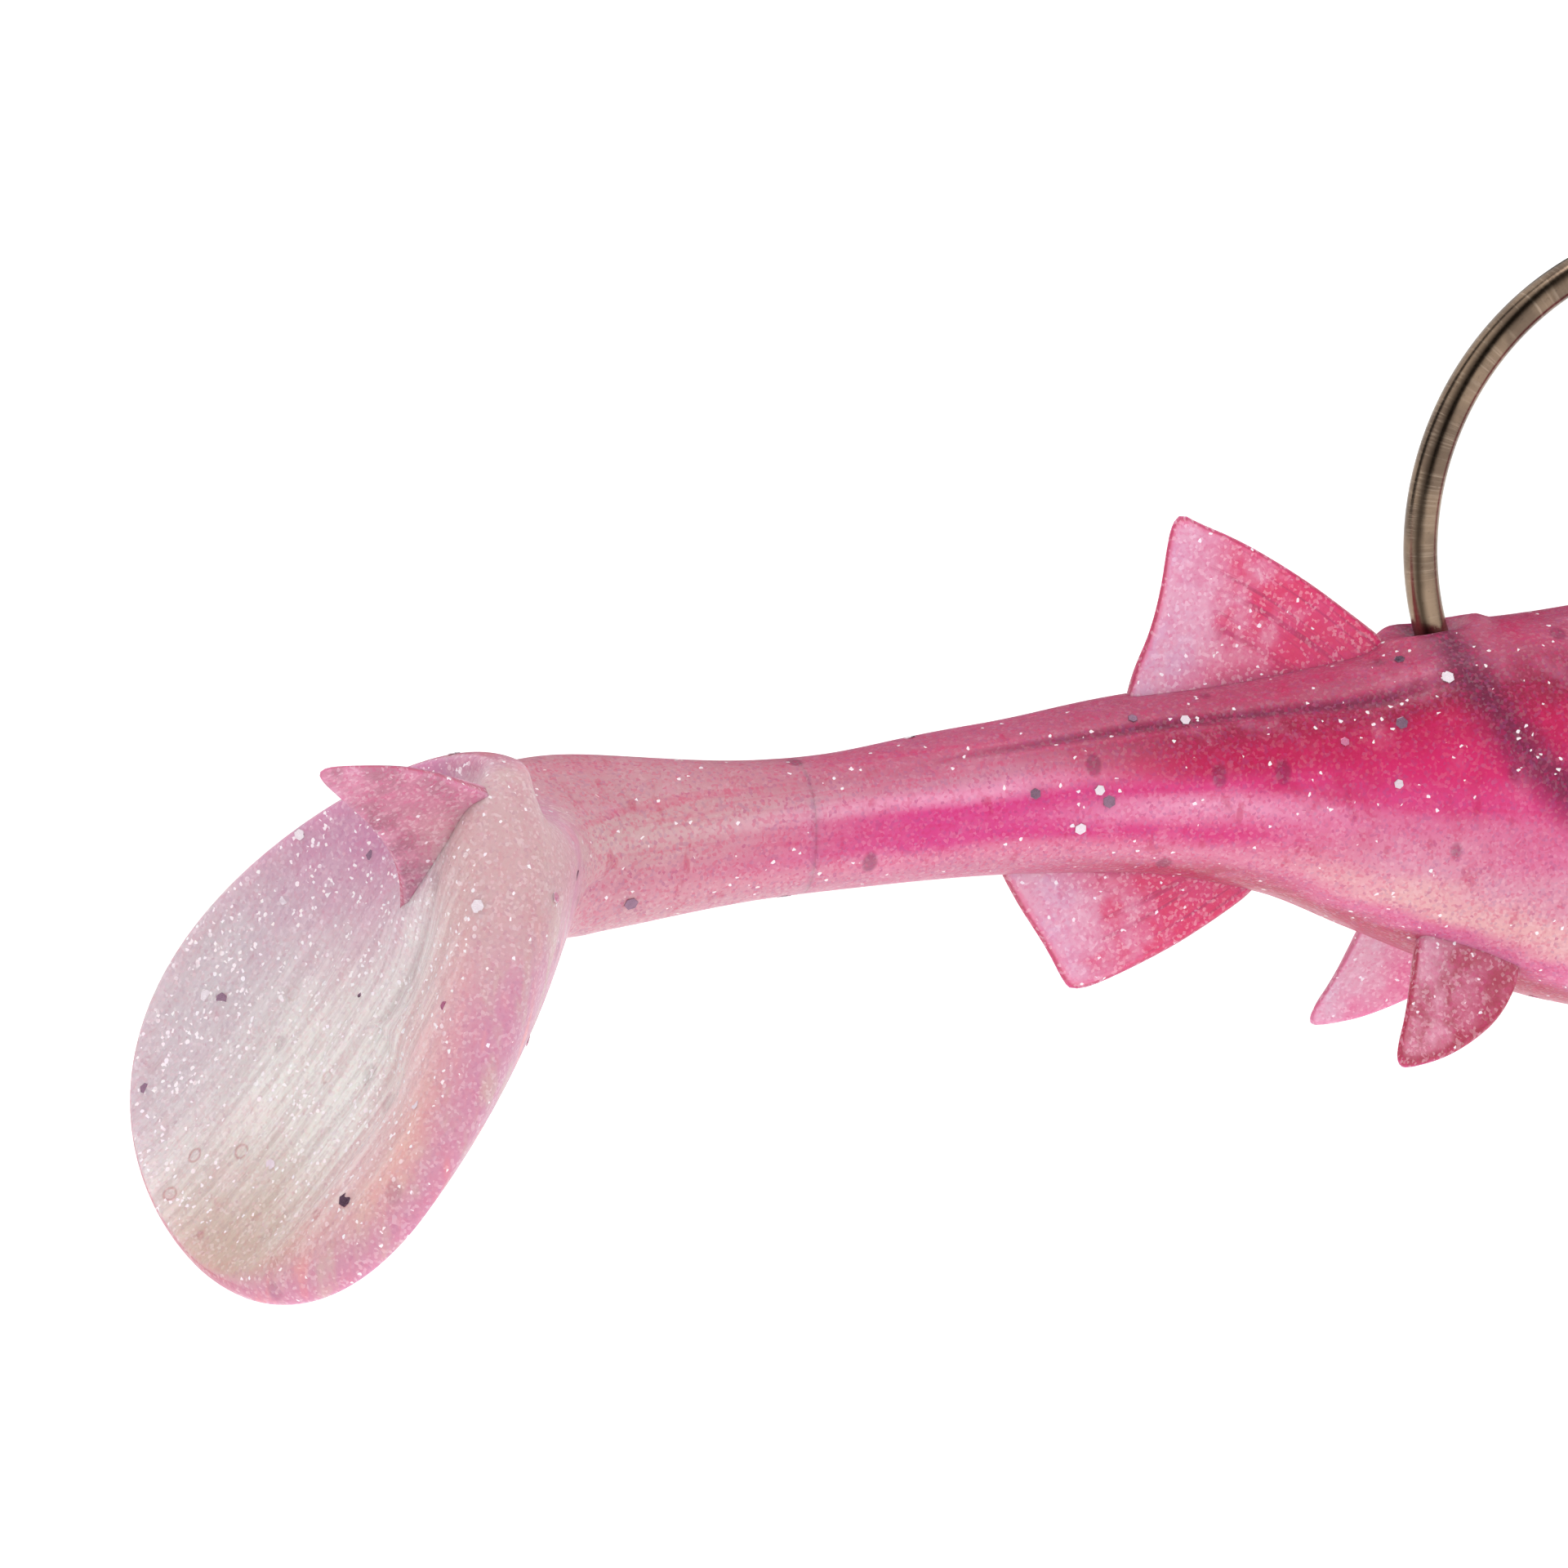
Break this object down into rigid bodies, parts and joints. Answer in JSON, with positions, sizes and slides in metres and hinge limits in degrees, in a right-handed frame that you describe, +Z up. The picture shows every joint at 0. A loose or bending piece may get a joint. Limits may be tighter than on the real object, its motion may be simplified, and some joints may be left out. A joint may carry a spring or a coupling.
{
  "type": "rigged paddle-tail jig",
  "caption": "Soft fish-shaped fishing jig: a cast weight and single up-riding hook inside a translucent glitter body with fins and a kicking paddle tail.",
  "frame": {"origin": "centre of the line eye's ring, above the head", "axes": "+X along the body towards the nose, +Y to the fish's left, +Z up; the hook lies in the plane Y = 0"},
  "size_m": [0.0941, 0.0217, 0.0335],
  "materials": {
    "cast_lead": "matte",
    "hook_wire": "satin",
    "soft_body": "satin",
    "soft_clear": "satin",
    "soft_fin": "satin",
    "eye_foil": "gloss",
    "eye_resin": "polished"
  },
  "bodies": {
    "rigged_body": {"lead_weight": "cast_lead", "hook": "hook_wire", "forebody": "soft_body", "eye_foil_left": "eye_foil", "eye_foil_right": "eye_foil", "eye_dome_left": "eye_resin", "eye_dome_right": "eye_resin"},
    "stem": {"tail_stem": "soft_body"},
    "paddle": {"tail_paddle": "soft_clear"},
    "upper_lobe": {"tail_upper_lobe": "soft_clear"},
    "dorsal": {"dorsal_fin": "soft_fin"},
    "anal": {"anal_fin": "soft_fin"},
    "pelvic_left": {"pelvic_fin_left": "soft_fin"},
    "pelvic_right": {"pelvic_fin_right": "soft_fin"},
    "pectoral_left": {"pectoral_fin_left": "soft_fin"},
    "pectoral_right": {"pectoral_fin_right": "soft_fin"}
  },
  "joints": [
    {"name": "stem_flex", "type": "hinge", "parent": "rigged_body", "child": "stem", "pos_m": [-0.0585, 0, -0.00584], "axis": [0, 0, 1], "range_deg": [-25, 25], "stiffness_Nm_per_rad": 0.002},
    {"name": "paddle_kick", "type": "hinge", "parent": "stem", "child": "paddle", "pos_m": [-0.0735, 0, -0.00584], "axis": [0, 0, 1], "range_deg": [-71, 19], "stiffness_Nm_per_rad": 0.001},
    {"name": "upper_lobe_flex", "type": "hinge", "parent": "paddle", "child": "upper_lobe", "pos_m": [-0.07859, -0.00656, -0.00239], "axis": [-0.372, 0.2657, -0.8894], "range_deg": [-25, 25], "stiffness_Nm_per_rad": 0.0001},
    {"name": "dorsal_flex", "type": "hinge", "parent": "rigged_body", "child": "dorsal", "pos_m": [-0.0436, 0, -0.00011], "axis": [-0.9901, 0, -0.1403], "range_deg": [-30, 30], "stiffness_Nm_per_rad": 0.0001},
    {"name": "anal_flex", "type": "hinge", "parent": "rigged_body", "child": "anal", "pos_m": [-0.0484, 0, -0.00888], "axis": [-0.9925, 0, 0.122], "range_deg": [-30, 30], "stiffness_Nm_per_rad": 0.0001},
    {"name": "pelvic_left_flex", "type": "hinge", "parent": "rigged_body", "child": "pelvic_left", "pos_m": [-0.0397, 0.00267, -0.01232], "axis": [-0.9282, -0.0561, 0.3679], "range_deg": [-25, 25], "stiffness_Nm_per_rad": 0.0001},
    {"name": "pelvic_right_flex", "type": "hinge", "parent": "rigged_body", "child": "pelvic_right", "pos_m": [-0.0397, -0.00267, -0.01232], "axis": [-0.9282, 0.0561, 0.3679], "range_deg": [-25, 25], "stiffness_Nm_per_rad": 0.0001},
    {"name": "pectoral_left_flex", "type": "hinge", "parent": "rigged_body", "child": "pectoral_left", "pos_m": [-0.0145, 0.00527, -0.01118], "axis": [-0.996, 0.0444, -0.0773], "range_deg": [-25, 25], "stiffness_Nm_per_rad": 0.0001},
    {"name": "pectoral_right_flex", "type": "hinge", "parent": "rigged_body", "child": "pectoral_right", "pos_m": [-0.0145, -0.00527, -0.01118], "axis": [-0.996, -0.0444, -0.0773], "range_deg": [-25, 25], "stiffness_Nm_per_rad": 0.0001}
  ]
}
